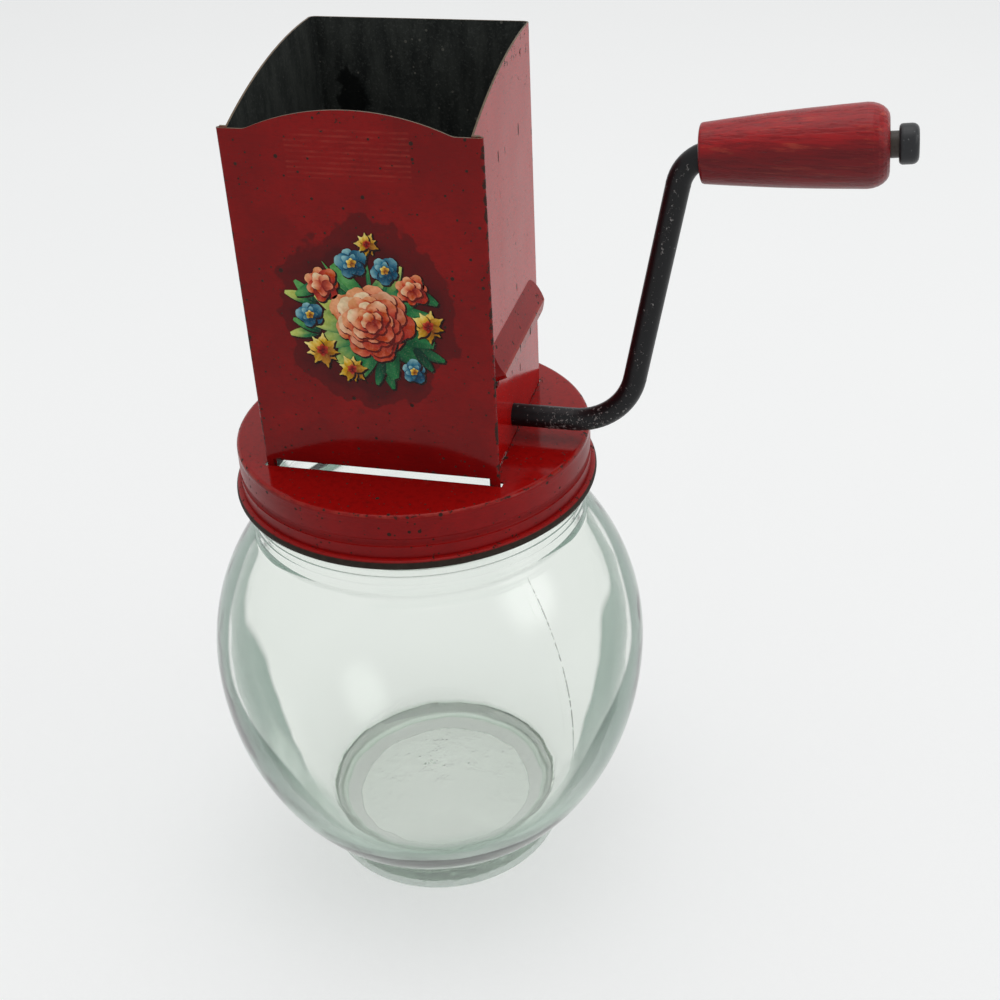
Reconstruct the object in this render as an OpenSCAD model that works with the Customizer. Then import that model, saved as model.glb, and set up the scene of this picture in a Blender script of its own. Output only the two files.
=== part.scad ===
// Hand crank nut grinder: a red tin hopper on a screw lid, over a round glass jar.
// A bent rod turns six hooked cutters that comb between the fingers of two sloping plates.
// Origin: the middle of the jar's foot. Z is up, the hopper's front faces -Y, the crank is at +X.

/* [Jar] */
// Outer radius of the jar at its belly
belly_r = 46.4; // [42:0.2:52]
// Height of the belly's widest point above the foot
belly_z = 52; // [48:0.5:56]
// Height that the upper half of the belly's curve would reach above the widest point
belly_up = 47; // [45:0.5:52]
// Depth that the lower half of the belly's curve would reach below the widest point
belly_down = 56; // [54:0.5:60]
// Wall of the glass
glass_t = 3; // [2:0.1:3.4]
// Height of the flat floor inside the jar
floor_z = 7; // [5:0.1:10]
// Outer radius of the foot ring
foot_r = 27.4; // [25:0.1:29]
// Width of the foot ring's standing face
foot_w = 4.2; // [2:0.1:6]
// Height of the hollow pressed up inside the foot ring
foot_rise = 1.2; // [0.4:0.1:2]
// Radius of the mouth's bore
mouth_r = 31; // [29:0.1:31.2]
// Outer radius of the neck above the shoulder
neck_r = 34; // [33.8:0.1:34.6]
// How far the bead below the lid stands out from the neck
neck_bead = 1; // [0.4:0.1:1.2]
// Distance from the rim down to the middle of that bead
bead_drop = 11.55; // [11:0.05:12.5]
// Radius of the rim's edges
rim_round = 0.8; // [0.4:0.1:1]
// Radius where the foot ring meets the standing face
foot_round = 1.5; // [0.6:0.1:2]
// Radius of the fillet between the foot ring and the belly
foot_fillet = 3; // [1:0.5:4]
// Radius of the fillet between the shoulder and the neck
neck_fillet = 2; // [1:0.5:3]
// Outer radius of the finish, inside the lid
finish_r = 33.3; // [32.8:0.1:33.6]
// Height of the rim
rim_z = 103.8; // [101:0.1:107]

/* [Lid] */
// Outer radius of the lid's skirt
lid_r = 35.2; // [35:0.1:36]
// Depth of the skirt, from the top down to the middle of its rolled edge
lid_h = 10.2; // [9.6:0.1:10.8]
// Sheet of the lid
lid_t = 0.4; // [0.3:0.05:0.5]
// Radius of the corner round the lid's top
lid_corner = 0.8; // [0.6:0.1:1.5]
// Depth of the groove pressed round the skirt
groove_d = 0.6; // [0.3:0.1:0.7]
// Depth of that groove's middle below the lid's top
groove_z = 5.8; // [5:0.1:6.5]
// Half of that groove's height
groove_half = 0.9; // [0.7:0.1:1.2]
// Radius of the rolled edge's tube
curl_r = 1.1; // [0.9:0.1:1.3]
// Thickness of the liner
liner_t = 0.9; // [0.6:0.05:1.2]
// Inner radius of the liner
liner_in = 31.7; // [31.6:0.05:32]
// Outer radius of the liner
liner_out = 34.2; // [33.5:0.1:34.3]

/* [Hopper] */
// Width of the hopper over its side walls
hop_w = 42.4; // [40:0.2:43]
// Depth of the hopper from the front panel's face to the back wall's face
hop_d = 42.9; // [41:0.1:43]
// Height of the hopper's front corners above the lid
hop_front = 65; // [55:0.5:75]
// Height of the hopper's back edge above the lid
hop_back = 73.3; // [70:0.5:80]
// Sheet of the hopper
hop_t = 0.35; // [0.25:0.05:0.4]
// Outer radius of the bends at the back corners
bend_r = 1.2; // [0.8:0.1:3]
// How far the front panel and its hems stand out past each side wall
hem_out = 1.65; // [1.4:0.05:1.8]
// Rise of the front panel's arched top above its shoulders
arch_rise = 3.7; // [2:0.1:5]
// Radius of that arch
arch_r = 45; // [42:1:60]
// Radius where the arch runs out into the shoulders
arch_fillet = 3; // [1:0.5:4]
// Gap between the lid and the front panel's lower edge
slot_h = 1.4; // [1:0.1:2.5]
// Depth of the hems' ends below the lid's top
hem_drop = 1; // [0.6:0.1:1.1]
// Reach of the tabs clinched under the lid
tab_l = 5.8; // [3:0.1:6]
// Width of each tab
tab_w = 15; // [8:1:16]

/* [Side rib] */
// Height of the rib's middle above the lid
rib_z = 22; // [21:0.5:24]
// Half of the rib's height
rib_half = 3.7; // [3.2:0.1:4]
// How far the rib stands out
rib_out = 2.6; // [1.5:0.1:2.8]
// Where the rib starts behind the front, from the hopper's middle
rib_front = 18.5; // [17.5:0.1:19]
// Where the rib ends at the back, from the hopper's middle
rib_back = 17; // [15.8:0.1:18.5]
// Flank of the rib, measured along its face
rib_flank = 1.1; // [0.6:0.1:1.3]
// Depth of the rib's ridge below its middle: the face above it slopes in to the wall
rib_ridge = 1; // [0.4:0.1:1.4]
// Radius of the hole that takes the front comb's ear
ear_hole_r = 1.7; // [1.5:0.1:1.8]

/* [Crank] */
// Radius of the rod
rod_r = 2.185; // [1.9:0.005:2.4]
// Height of the shaft above the lid
shaft_z = 4.7; // [4.5:0.1:5]
// How far the shaft lies in front of the hopper's middle
shaft_y = 2.62; // [2:0.02:3.2]
// Distance from the hopper's middle to the lower corner of the rod
arm_x = 43; // [40:0.5:48]
// Height of the arm between its two corners
arm_h = 52.97; // [46:0.01:60]
// How far the arm leans outward over that height
arm_lean = 9.9; // [6:0.1:14]
// Radius of the rod's lower bend, along its middle
low_bend = 12; // [9:0.5:13]
// Radius of the rod's upper bend, along its middle
top_bend = 7; // [5:0.5:7.5]
// Tilt of the grip upward from the shaft's direction
grip_tilt = 5.2; // [0:0.1:10]
// Running clearance round the shaft and the grip pin
run_gap = 0.06; // [0.03:0.01:0.1]

/* [Grip] */
// Distance from the rod's upper corner to the grip's inner face
grip_in = 2.7; // [2.4:0.1:4]
// Length of the grip
grip_l = 30.8; // [28:0.1:36]
// Radius of the grip's inner end
grip_r1 = 5.1; // [4.8:0.05:6]
// Radius of the grip near its outer end, where it is thickest
grip_r2 = 6.95; // [6.2:0.05:8]
// Radius of the grip's inner countersink at its mouth
sink_r = 3.5; // [3.4:0.1:3.9]
// End play of the grip in front of the cap nut
grip_play = 1.4; // [0.6:0.1:2]
// Radius of the cap nut
nut_r = 3.3; // [3:0.05:4]
// Length of the cap nut
nut_l = 3.2; // [2.6:0.1:4]

/* [Cutters] */
// Number of cutters
cutters = 6; // [6:6]
// Length of the spacers at the two ends of the cutters
end_l = 3.8; // [3.2:0.1:4.6]
// Thickness of a cutter
cut_t = 1.2; // [0.8:0.1:1.5]
// Radius over the cutter's finger tips
cut_r = 11; // [9.5:0.1:11.4]
// Hooked fingers on each cutter
fingers = 4; // [3:5]
// Turn of each cutter against the one before it
stagger = 15; // [0:1:45]
// Radius of a cutter's hub
hub_r = 4.6; // [4.2:0.1:5]
// Radius of the spacer tubes
spacer_r = 3.4; // [3.1:0.05:3.6]
// Distance of the shaft's flat from its axis
flat_d = 1.5; // [1.2:0.05:1.7]
// Thickness of a thrust washer
washer_t = 0.8; // [0.5:0.1:1.2]
// Radius of the thrust washers
washer_r = 3.9; // [3.6:0.1:4.1]
// Radius of the push nut outside the left wall
push_r = 3.7; // [3.4:0.1:3.8]
// Length of the push nut
push_l = 2.1; // [1.5:0.1:3]

/* [Combs] */
// Thickness of the comb plates
comb_t = 0.8; // [0.6:0.05:0.9]
// Slope of the rear comb
rear_angle = 46; // [45:0.5:48]
// Slope of the front comb
front_angle = 52; // [48:0.5:52]
// Distance from the shaft's axis to the combs' finger tips
tip_d = 4.3; // [4.1:0.05:4.8]
// Width of the slots that the cutters pass through
slot_w = 2.4; // [2.2:0.1:3]
// Clearance past the cutters' tips at the slots' closed ends
slot_gap = 0.8; // [0.5:0.1:1.5]
// Height of the flange at each comb's top
flange_h = 4; // [2:0.1:6]
// How far that flange stops short of the comb's sides
flange_in = 3; // [2:0.5:10]

/* [Fits] */
// Gap between fixed pieces that seat on one another
seat_gap = 0.02; // [0.01:0.01:0.05]
// Gap between pieces that turn past one another face to face
side_gap = 0.1; // [0.05:0.01:0.12]
// Gap between the hopper and the edge of the lid's opening
hole_gap = 0.1; // [0.05:0.01:0.15]
// Gap above and below the liner
liner_gap = 0.05; // [0.03:0.01:0.08]
// Gap between the hems' ends and the sides of the lid's corner notches
notch_gap = 0.4; // [0.4:0.1:1.2]
// Gap between a comb's edge and the side wall
comb_gap = 0.25; // [0.1:0.05:0.4]

/* [Comb seats] */
// Angle of the rear comb's finger tips above the shaft's level
rear_tip_angle = 31; // [28:1:34]
// Angle of the front comb's finger tips above the shaft's level
front_tip_angle = 45; // [42:1:48]
// Height of the rear comb's ears above the lid
rear_ear = 20.3; // [20:0.1:21]
// Height of the front comb's ears above the lid
front_ear = 18; // [17.6:0.1:18.6]
// Half of an ear's length along the comb
ear_half = 0.9; // [0.6:0.1:1]
// Reach of the rear ears into the ribs' hollows
ear_reach = 0.6; // [0.3:0.1:1]

/* [Hidden] */
$fn = 96;

paint = "#b3201c";
tin = "#4a4440";
steel = "#2b2c2e";
bright = "#9a9c9e";
glass = [0.72, 0.86, 0.8, 0.35];

// Levels and faces that pieces share
lid_top = rim_z + liner_t + lid_t + 2 * liner_gap;
wall_x = hop_w / 2;
wall_in = wall_x - hop_t;
back_y = hop_d / 2;
back_in = back_y - hop_t;
ax_y = -shaft_y;
ax_z = lid_top + shaft_z;
wall_bottom = lid_top - lid_t - seat_gap - hop_t;

// Foot of the jar: where the belly's lower curve comes down to the foot ring
foot_a = acos(foot_r / belly_r);
foot_turn = 90 - atan2(belly_down * cos(foot_a), belly_r * sin(foot_a));
foot_top = belly_z - belly_down * sin(foot_a) - foot_fillet * tan(foot_turn / 2);
neck_a = acos(neck_r / belly_r);
neck_turn = atan2(belly_r * sin(neck_a), belly_up * cos(neck_a));
neck_z = belly_z + belly_up * sin(neck_a) + neck_fillet * tan(neck_turn / 2);
bead_z = rim_z - bead_drop;

// Inside of the jar
in_r = belly_r - glass_t;
in_up = belly_up - glass_t;
in_down = belly_down - glass_t;
in_low = asin((floor_z - belly_z) / in_down);
in_high = acos(mouth_r / in_r);

// Hem: the panel's sheet, the flange between two seat gaps, and the sheet's return
hem_t = 3 * hop_t + 2 * seat_gap;
hem_x = wall_x + hem_out - hem_t / 2;
flange_x = hem_x - seat_gap;

// The side walls' arched top edge is part of a circle that is level at the back
top_d = hop_back - hop_front;
top_r = (hop_d * hop_d + top_d * top_d) / (2 * top_d);

// Directions and tangent lengths of the rod's two bends
lean_a = atan2(arm_h, arm_lean);
low_t = low_bend * tan(lean_a / 2);
turn_a = lean_a - grip_tilt;
top_t = top_bend * tan(turn_a / 2);
sink_d = top_t - grip_in + 0.3;
grip_end = grip_in + grip_l;
rod_end = grip_end + grip_play + nut_l - 0.8;
shaft_end = wall_x + side_gap + push_l + 1;

// Places along the shaft: from each wall come a washer, an end spacer and the cutters
washer_x = wall_in - side_gap - washer_t;
stack_x = washer_x - seat_gap - end_l;
pitch = 2 * (stack_x - seat_gap - cut_t / 2) / (cutters - 1);
function cut_x(i) = (i - (cutters - 1) / 2) * pitch;

// Arc of points round a centre, and a point on an ellipse
function arc(cx, cy, r, a0, a1, n) = [
  for (i = [0:n]) let (a = a0 + (a1 - a0) * i / n) [cx + r * cos(a), cy + r * sin(a)]
];
function belly(r, up, down, a) = [r * cos(a), belly_z + (a > 0 ? up : down) * sin(a)];

// How far up a comb its slots run, to clear the cutters' tips
function slot_end(slope, tip) = let (p = tip_d * cos(slope - tip))
  sqrt(p * p - tip_d * tip_d + pow(cut_r + slot_gap, 2)) - p;

// Jar, turned in one profile: foot, belly, neck, bead, finish, and back down the inside
module jar_profile() {
  outer = concat(
    [[0, foot_rise], [foot_r - foot_round - foot_w - foot_rise, foot_rise]],
    [[foot_r - foot_round - foot_w, 0]],
    arc(foot_r - foot_round, foot_round, foot_round, -90, 0, 4),
    arc(foot_r + foot_fillet, foot_top, foot_fillet, 180, 180 - foot_turn, 4),
    [for (i = [1:18]) belly(belly_r, belly_up, belly_down, -foot_a + (foot_a + neck_a) * i / 19)],
    arc(neck_r + neck_fillet, neck_z, neck_fillet, 180 + neck_turn, 180, 4),
    arc(neck_r, bead_z, neck_bead, -90, 90, 8),
    [[finish_r, bead_z + neck_bead]],
    arc(finish_r - rim_round, rim_z - rim_round, rim_round, 0, 90, 4)
  );
  inner = concat(
    arc(mouth_r + rim_round, rim_z - rim_round, rim_round, 90, 180, 4),
    [for (i = [0:20]) belly(in_r, in_up, in_down, in_high + (in_low - in_high) * i / 20)],
    [[0, floor_z]]
  );
  polygon(concat(outer, inner));
}

module jar() {
  color(glass) rotate_extrude() jar_profile();
}

// Lid: flat top, rounded corner, skirt with a pressed groove, and a rolled edge
function skirt(r) = [
  for (i = [0:8]) [
    r - groove_d * sin(22.5 * i),
    lid_top - groove_z + groove_half * cos(22.5 * i)
  ]
];

module lid_profile() {
  curl_x = lid_r - lid_t + curl_r / 2;
  curl_a = acos((lid_r - curl_x) / curl_r);
  curl_b = acos((lid_r - lid_t - curl_x) / curl_r) - 360;
  polygon(concat(
    [[0, lid_top]],
    arc(lid_r - lid_corner, lid_top - lid_corner, lid_corner, 90, 0, 4),
    skirt(lid_r),
    arc(curl_x, lid_top - lid_h, curl_r, curl_a, curl_b, 20),
    [for (i = [8:-1:0]) skirt(lid_r - lid_t)[i]],
    arc(lid_r - lid_corner, lid_top - lid_corner, lid_corner - lid_t, 0, 90, 4),
    [[0, lid_top - lid_t]]
  ));
}

module lid_cap() {
  notch_x = wall_x + hem_out + notch_gap;
  notch_y = hem_t + notch_gap;
  color(paint) difference() {
    rotate_extrude() lid_profile();
    translate([-wall_x - hole_gap, -back_y - hole_gap, lid_top - 2 * lid_t])
      cube([hop_w + 2 * hole_gap, hop_d + 2 * hole_gap, 3 * lid_t]);
    for (s = [0, 1])
      mirror([s, 0, 0])
        translate([wall_in, -back_y - notch_gap / 2, lid_top - 2 * lid_t])
          cube([notch_x - wall_in, notch_y + notch_gap / 2, 3 * lid_t]);
  }
}

module lid_liner() {
  color(tin) translate([0, 0, rim_z + liner_gap]) difference() {
    cylinder(r = liner_out, h = liner_t);
    translate([0, 0, -1])
      cylinder(r = liner_in, h = liner_t + 2);
  }
}

// Hopper body: one sheet bent round the back and both sides, seen from above
module hopper_plan() {
  side_l = back_y - bend_r;
  flange_y = -back_y + hop_t + seat_gap;
  translate([-wall_x + bend_r, back_in])
    square([hop_w - 2 * bend_r, hop_t]);
  for (s = [0, 1]) mirror([s, 0]) {
    translate([wall_in, flange_y])
      square([hop_t, side_l - flange_y]);
    translate([wall_in, flange_y])
      square([flange_x - wall_in, hop_t]);
    translate([wall_x - bend_r, side_l]) intersection() {
      difference() {
        circle(r = bend_r);
        circle(r = bend_r - hop_t);
      }
      square(bend_r + 1);
    }
  }
}

// One pressed rib at +X: round ends, a steep lower flank, and a broad face that slopes from
// the ridge up and in to the wall
module rib(inset) {
  x0 = inset > 0 ? wall_in - 0.2 : wall_x - hop_t / 2;
  x1 = wall_x + rib_out - inset;
  slope = rib_flank / rib_out;
  r0 = rib_half - inset + (wall_x - x0) * slope;
  r1 = rib_half - inset + (wall_x - x1) * slope;
  y0 = -rib_front + rib_half;
  y1 = rib_back - rib_half;
  tilt = atan2(rib_half + rib_ridge, rib_out);
  translate([0, 0, lid_top + rib_z]) difference() {
    union() {
      for (y = [y0, y1])
        translate([x0, y, 0]) rotate([0, 90, 0])
          cylinder(r1 = r0, r2 = r1, h = x1 - x0, $fn = 48);
      translate([0, y1, 0]) rotate([90, 0, 0]) linear_extrude(y1 - y0)
        polygon([[x0, -r0], [x1, -r1], [x1, r1], [x0, r0]]);
    }
    translate([wall_x, -rib_front - 1, rib_half]) rotate([0, tilt, 0])
      translate([-5, 0, -inset])
        cube([20, rib_front + rib_back + 2, 10]);
  }
}

// A hole along X at the given place on the side walls
module side_hole(y, z, r) {
  translate([0, y, z]) rotate([0, 90, 0])
    cylinder(r = r, h = hop_w + 20, center = true, $fn = 48);
}

ear_gap_y = (front_ear - shaft_z - tip_d * sin(front_tip_angle)) / tan(front_angle);
front_ear_y = ax_y - tip_d * cos(front_tip_angle) - ear_gap_y;

module hopper_body() {
  color(paint) difference() {
    union() {
      intersection() {
        translate([0, 0, wall_bottom])
          linear_extrude(hop_back + lid_top - wall_bottom) hopper_plan();
        translate([0, back_y, lid_top + hop_back - top_r]) rotate([0, 90, 0])
          cylinder(r = top_r, h = hop_w + 20, center = true, $fn = 180);
      }
      for (s = [0, 1]) mirror([s, 0, 0]) {
        rib(0);
        translate([wall_in, -tab_w / 2, wall_bottom])
          cube([tab_l + hop_t, tab_w, hop_t]);
      }
      translate([-tab_w / 2, back_in, wall_bottom])
        cube([tab_w, tab_l + hop_t, hop_t]);
    }
    for (s = [0, 1]) mirror([s, 0, 0]) rib(hop_t);
    side_hole(front_ear_y, lid_top + front_ear, ear_hole_r);
    side_hole(ax_y, ax_z, rod_r + run_gap);
  }
}

// Front panel: an arched sheet whose edges roll back round the hopper's flanges
module panel_outline() {
  half = hem_x;
  top = hop_front;
  arch_z = top + arch_rise - arch_r;
  f_x = sqrt(pow(arch_r + arch_fillet, 2) - pow(top + arch_fillet - arch_z, 2));
  k = arch_r / (arch_r + arch_fillet);
  difference() {
    union() {
      translate([-half, slot_h])
        square([2 * half, top - slot_h]);
      intersection() {
        translate([0, arch_z])
          circle(r = arch_r, $fn = 180);
        translate([-f_x * k, top - 1])
          square([2 * f_x * k, arch_rise + 2]);
      }
      for (s = [0, 1]) mirror([s, 0])
        polygon([
          [f_x * k - 1, top - 1], [f_x, top - 1], [f_x, top],
          [f_x * k, arch_z + (top + arch_fillet - arch_z) * k], [f_x * k - 1, top]
        ]);
    }
    for (s = [0, 1]) mirror([s, 0]) {
      translate([f_x, top + arch_fillet])
        circle(r = arch_fillet, $fn = 48);
    }
  }
}

module hem_plan() {
  y0 = -back_y;
  translate([hem_x, y0 + hem_t / 2]) intersection() {
    difference() {
      circle(r = hem_t / 2, $fn = 32);
      circle(r = hem_t / 2 - hop_t, $fn = 32);
    }
    translate([0, -hem_t])
      square(2 * hem_t);
  }
  translate([wall_x + comb_gap / 2, y0])
    square([hem_x - wall_x - comb_gap / 2, hop_t]);
  translate([wall_x + comb_gap / 2, y0 + hem_t - hop_t])
    square([hem_x - wall_x - comb_gap / 2, hop_t]);
}

module front_panel() {
  color(paint) {
    translate([0, -back_y + hop_t, lid_top]) rotate([90, 0, 0])
      linear_extrude(hop_t) panel_outline();
    for (s = [0, 1]) mirror([s, 0, 0])
      translate([0, 0, lid_top - hem_drop])
        linear_extrude(hop_front + hem_drop) hem_plan();
  }
}

// Comb: a plate with open slots for the cutters, an ear at each side and a flange at the top.
// It is drawn as the rear one, rising along +Y from the tips near the shaft.
module comb(slope, tip, seat_y, ear_z, ear_x) {
  tip_y = tip_d * cos(tip);
  tip_z = tip_d * sin(tip);
  len = (seat_y - tip_y - comb_t / 2 * sin(slope)) / cos(slope);
  half = wall_in - comb_gap;
  ear_u = (ear_z - shaft_z - tip_z) / sin(slope);
  slot_l = slot_end(slope, tip);
  top_z = tip_z + len * sin(slope) - comb_t / 2 * cos(slope);
  translate([0, tip_y, tip_z]) rotate([slope, 0, 0])
    linear_extrude(comb_t, center = true) difference() {
      union() {
        polygon([
          [-half, 0], [half, 0], [half, len - bend_r], [half - bend_r, len],
          [bend_r - half, len], [-half, len - bend_r]
        ]);
        translate([-ear_x, ear_u - ear_half])
          square([2 * ear_x, 2 * ear_half]);
      }
      for (i = [0:cutters - 1]) {
        translate([cut_x(i) - slot_w / 2, -1])
          square([slot_w, slot_l + 1]);
        translate([cut_x(i), slot_l])
          circle(r = slot_w / 2, $fn = 24);
      }
    }
  translate([flange_in - half, seat_y - comb_t, top_z])
    cube([2 * (half - flange_in), comb_t, flange_h]);
}

module rear_comb() {
  color(bright) translate([0, ax_y, ax_z])
    comb(rear_angle, rear_tip_angle, back_in - seat_gap - ax_y, rear_ear, wall_x + ear_reach);
}

module front_comb() {
  color(bright) translate([0, ax_y, ax_z]) mirror([0, 1, 0])
    comb(front_angle, front_tip_angle, back_in - seat_gap + ax_y, front_ear, wall_x - seat_gap);
}

// Crank rod, in the plane of the shaft: straight lengths joined by two bends
module rod_length(x, z, a, l) {
  translate([x, 0, z]) rotate([0, 90 - a, 0])
    cylinder(r = rod_r, h = l, $fn = 48);
}

// A bend, with a hair-thin collar at each end that makes one solid with the next length
module rod_bend(x, z, r, a0, a) {
  collar = 0.02;
  translate([x, 0, z]) rotate([90, 0, 0]) {
    rotate([0, 0, a0]) rotate_extrude(angle = a, $fn = 96) translate([r, 0])
      circle(r = rod_r, $fn = 48);
    for (end = [a0, a0 + a])
      rotate([0, 0, end]) translate([r, 0, 0]) rotate([90, 0, 0])
        cylinder(r = rod_r + collar, h = 0.3, center = true, $fn = 48);
  }
}

module crank_rod() {
  arm_l = sqrt(arm_h * arm_h + arm_lean * arm_lean);
  low_x = arm_x + low_t * cos(lean_a);
  low_z = low_t * sin(lean_a);
  up_x = arm_x + arm_lean - top_t * cos(lean_a);
  up_z = arm_h - top_t * sin(lean_a);
  pin_x = arm_x + arm_lean + top_t * cos(grip_tilt);
  pin_z = arm_h + top_t * sin(grip_tilt);
  color(steel) translate([0, ax_y, ax_z]) difference() {
    union() {
      rod_length(-shaft_end, 0, 0, arm_x - low_t + shaft_end);
      rod_bend(arm_x - low_t, low_bend, low_bend, -90, lean_a);
      rod_length(low_x, low_z, lean_a, arm_l - low_t - top_t);
      rod_bend(up_x + top_bend * sin(lean_a), up_z - top_bend * cos(lean_a),
        top_bend, 90 + grip_tilt, turn_a);
      rod_length(pin_x, pin_z, grip_tilt, rod_end - top_t);
    }
    translate([-shaft_end - 1, -rod_r - 1, flat_d])
      cube([stack_x + shaft_end + 1, 2 * rod_r + 2, rod_r]);
  }
}

// Cutter: a hub with hooked fingers, and a bore with a flat that fits the shaft
hook_back = 5.6;
hook_face = 4.5;

module cutter_plan() {
  difference() {
    union() {
      circle(r = hub_r, $fn = 48);
      for (k = [0:fingers - 1]) rotate(360 * k / fingers) difference() {
        translate([cut_r - hook_back * cos(10), hook_back * sin(10)])
          circle(r = hook_back, $fn = 48);
        translate([cut_r - hook_face * cos(42), -hook_face * sin(42)])
          circle(r = hook_face, $fn = 48);
      }
    }
  }
}

module cutter(i) {
  turn = stagger * (i - 1);
  color(bright) translate([cut_x(i - 1), ax_y, ax_z]) difference() {
    rotate([turn, 0, 0]) rotate([0, 90, 0])
      linear_extrude(cut_t, center = true) cutter_plan();
    difference() {
      rotate([0, 90, 0])
        cylinder(r = rod_r + seat_gap, h = cut_t + 2, center = true, $fn = 48);
      translate([-cut_t, -5, flat_d + seat_gap])
        cube([2 * cut_t, 10, 10]);
    }
  }
}

module cutter_1() cutter(1);
module cutter_2() cutter(2);
module cutter_3() cutter(3);
module cutter_4() cutter(4);
module cutter_5() cutter(5);
module cutter_6() cutter(6);

// A ring on the shaft from x0 to x1
module shaft_ring(x0, x1, r) {
  translate([x0, ax_y, ax_z]) rotate([0, 90, 0]) difference() {
    cylinder(r = r, h = x1 - x0, $fn = 48);
    translate([0, 0, -1])
      cylinder(r = rod_r + seat_gap, h = x1 - x0 + 2, $fn = 48);
  }
}

module spacer(i) {
  gap = cut_t / 2 + seat_gap;
  color(steel) shaft_ring(cut_x(i - 1) + gap, cut_x(i) - gap, spacer_r);
}

module spacer_1() spacer(1);
module spacer_2() spacer(2);
module spacer_3() spacer(3);
module spacer_4() spacer(4);
module spacer_5() spacer(5);

module end_spacer_right() {
  color(steel) shaft_ring(stack_x, washer_x - seat_gap, spacer_r);
}

module end_spacer_left() {
  color(steel) shaft_ring(seat_gap - washer_x, -stack_x, spacer_r);
}

module thrust_washer_right() {
  color(bright) shaft_ring(washer_x, washer_x + washer_t, washer_r);
}

module thrust_washer_left() {
  color(bright) shaft_ring(-washer_x - washer_t, -washer_x, washer_r);
}

// Push nut: a pressed cap with a brim, on the shaft's left end
module push_nut() {
  brim = 0.7;
  color(bright) translate([-wall_x - side_gap, ax_y, ax_z]) rotate([0, -90, 0]) difference() {
    union() {
      cylinder(r = push_r, h = brim, $fn = 48);
      cylinder(r = push_r - 0.7, h = push_l - 0.5, $fn = 48);
      translate([0, 0, push_l - 0.5])
        cylinder(r1 = push_r - 0.7, r2 = push_r - 1.1, h = 0.5, $fn = 48);
    }
    translate([0, 0, -1])
      cylinder(r = rod_r + seat_gap, h = push_l + 2, $fn = 48);
  }
}

// Puts what is drawn along +Z from the rod's upper corner onto the grip pin
module on_pin() {
  translate([arm_x + arm_lean, ax_y, ax_z + arm_h]) rotate([0, 90 - grip_tilt, 0])
    children();
}

module grip() {
  bore = rod_r + run_gap;
  end_round = 3.6;
  thick = grip_end - end_round;
  profile = concat(
    [[sink_r, grip_in], [grip_r1 - 0.5, grip_in], [grip_r1 - 0.15, grip_in + 0.15]],
    [[grip_r1, grip_in + 0.5]],
    [for (i = [1:6]) let (k = i / 6) [
      grip_r1 + (grip_r2 - grip_r1) * (k + 0.12 * sin(180 * k)),
      grip_in + 0.5 + (thick - grip_in - 0.5) * k
    ]],
    [for (a = [15:15:90]) [
      grip_r2 - 2.6 + 2.6 * cos(a), thick + end_round * sin(a)
    ]],
    [[bore, grip_end], [bore, grip_in + sink_d]]
  );
  color(paint) on_pin() rotate_extrude($fn = 64) polygon(profile);
}

module cap_nut() {
  start = grip_end + grip_play;
  brim = 0.6;
  dome = 1.1;
  color(steel) on_pin() translate([0, 0, start]) difference() {
    rotate_extrude($fn = 48) polygon(concat(
      [[0, 0]],
      arc(nut_r - brim, brim, brim, -90, 0, 3),
      arc(nut_r - dome, nut_l - dome, dome, 0, 90, 4),
      [[0, nut_l]]
    ));
    translate([0, 0, -1])
      cylinder(r = rod_r + seat_gap, h = nut_l + 0.2 + seat_gap, $fn = 48);
  }
}

jar();
lid_cap();
lid_liner();
hopper_body();
front_panel();
front_comb();
rear_comb();
crank_rod();
cutter_1();
cutter_2();
cutter_3();
cutter_4();
cutter_5();
cutter_6();
spacer_1();
spacer_2();
spacer_3();
spacer_4();
spacer_5();
end_spacer_left();
end_spacer_right();
thrust_washer_left();
thrust_washer_right();
push_nut();
grip();
cap_nut();
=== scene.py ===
# %% [markdown]
# # A hand-cranked nut grinder on a glass jar
# Nuts go into the square tin hopper, and a crank turns six hooked cutters between two slotted
# combs, so that the chopped nuts fall into the jar. The metal parts come from the CAD model,
# each as an object of its own, in metres. This script loads them as a fixed frame, and then
# gives each one its real finish. It builds anew what the CAD only stands in for: the moulded
# glass jar and the printed flowers.

# %% Load the frame
import bmesh
import bpy
import math
from mathutils import Matrix, Vector


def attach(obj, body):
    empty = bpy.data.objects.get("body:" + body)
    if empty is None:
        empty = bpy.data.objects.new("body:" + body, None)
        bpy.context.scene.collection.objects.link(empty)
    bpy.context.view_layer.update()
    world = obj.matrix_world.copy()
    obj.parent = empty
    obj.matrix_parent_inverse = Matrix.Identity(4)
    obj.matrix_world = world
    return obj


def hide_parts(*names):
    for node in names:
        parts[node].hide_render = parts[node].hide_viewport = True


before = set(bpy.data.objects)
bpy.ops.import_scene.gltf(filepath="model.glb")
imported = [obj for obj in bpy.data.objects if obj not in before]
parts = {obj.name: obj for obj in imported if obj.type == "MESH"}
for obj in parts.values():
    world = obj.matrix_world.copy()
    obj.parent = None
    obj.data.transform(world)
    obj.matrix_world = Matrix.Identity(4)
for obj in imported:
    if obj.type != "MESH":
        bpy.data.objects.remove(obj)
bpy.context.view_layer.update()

print("CAD parts loaded:", len(parts))

# %% [markdown]
# ## The camera
# The photograph looks down on the grinder from a little to the right of its front. The lens is
# a short portrait lens, and the shift moves the frame as a crop of a larger picture would.
# Turns are set from the outside in: first the heading about Z, then the tilt about X, and last
# a small roll about the camera's own axis.

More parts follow.
